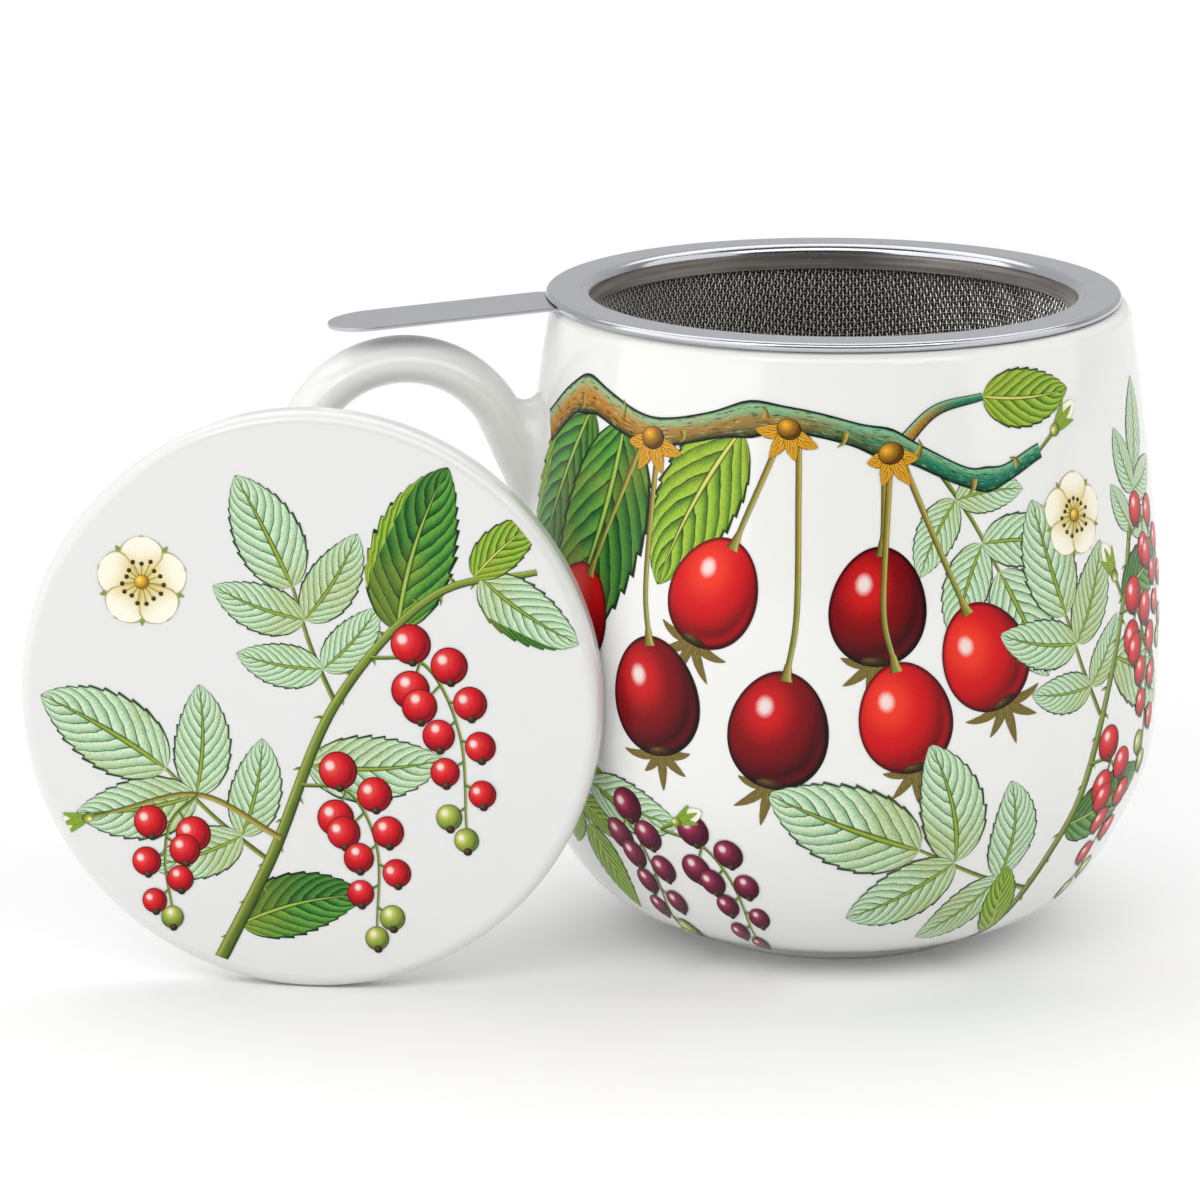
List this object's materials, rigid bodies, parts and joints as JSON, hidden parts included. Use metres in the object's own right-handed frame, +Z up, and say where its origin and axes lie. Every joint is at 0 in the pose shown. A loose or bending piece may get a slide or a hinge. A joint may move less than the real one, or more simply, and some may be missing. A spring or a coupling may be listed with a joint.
{
  "type": "lidded tea mug with infuser",
  "caption": "Full-bellied porcelain tea mug with a loop handle, a loose disc lid leaning beside it, and a steel mesh tea infuser with a lifting tab hanging in its mouth.",
  "frame": {"origin": "middle of the mug's standing ring, on the table", "axes": "+Z up along the mug's axis, -X towards the handle and the infuser's tab, -Y towards the side that the lid leans in front of"},
  "size_m": [0.1693, 0.096, 0.0965],
  "materials": {
    "glazed_porcelain": "clear glossy glaze over white porcelain, with a printed plant pattern under it on the mug and the lid",
    "pressed_steel": "satin stainless sheet with a brighter rolled shoulder",
    "woven_steel_wire": "fine woven stainless wire cloth, drawn to a cup"
  },
  "bodies": {
    "mug": {"mug_body": "glazed_porcelain", "mug_handle": "glazed_porcelain"},
    "infuser": {"infuser_rim": "pressed_steel", "infuser_mesh": "woven_steel_wire", "mesh_hoop": "pressed_steel", "infuser_tab": "pressed_steel"},
    "lid": {"lid": "glazed_porcelain"}
  },
  "joints": [
    {"name": "infuser_lift", "type": "slide", "parent": "mug", "child": "infuser", "axis": [0, 0, 1], "range_m": [0, 0.09]},
    {"name": "lid_lift", "type": "slide", "parent": "mug", "child": "lid", "axis": [0, 0, 1], "range_m": [0, 0.1]}
  ]
}
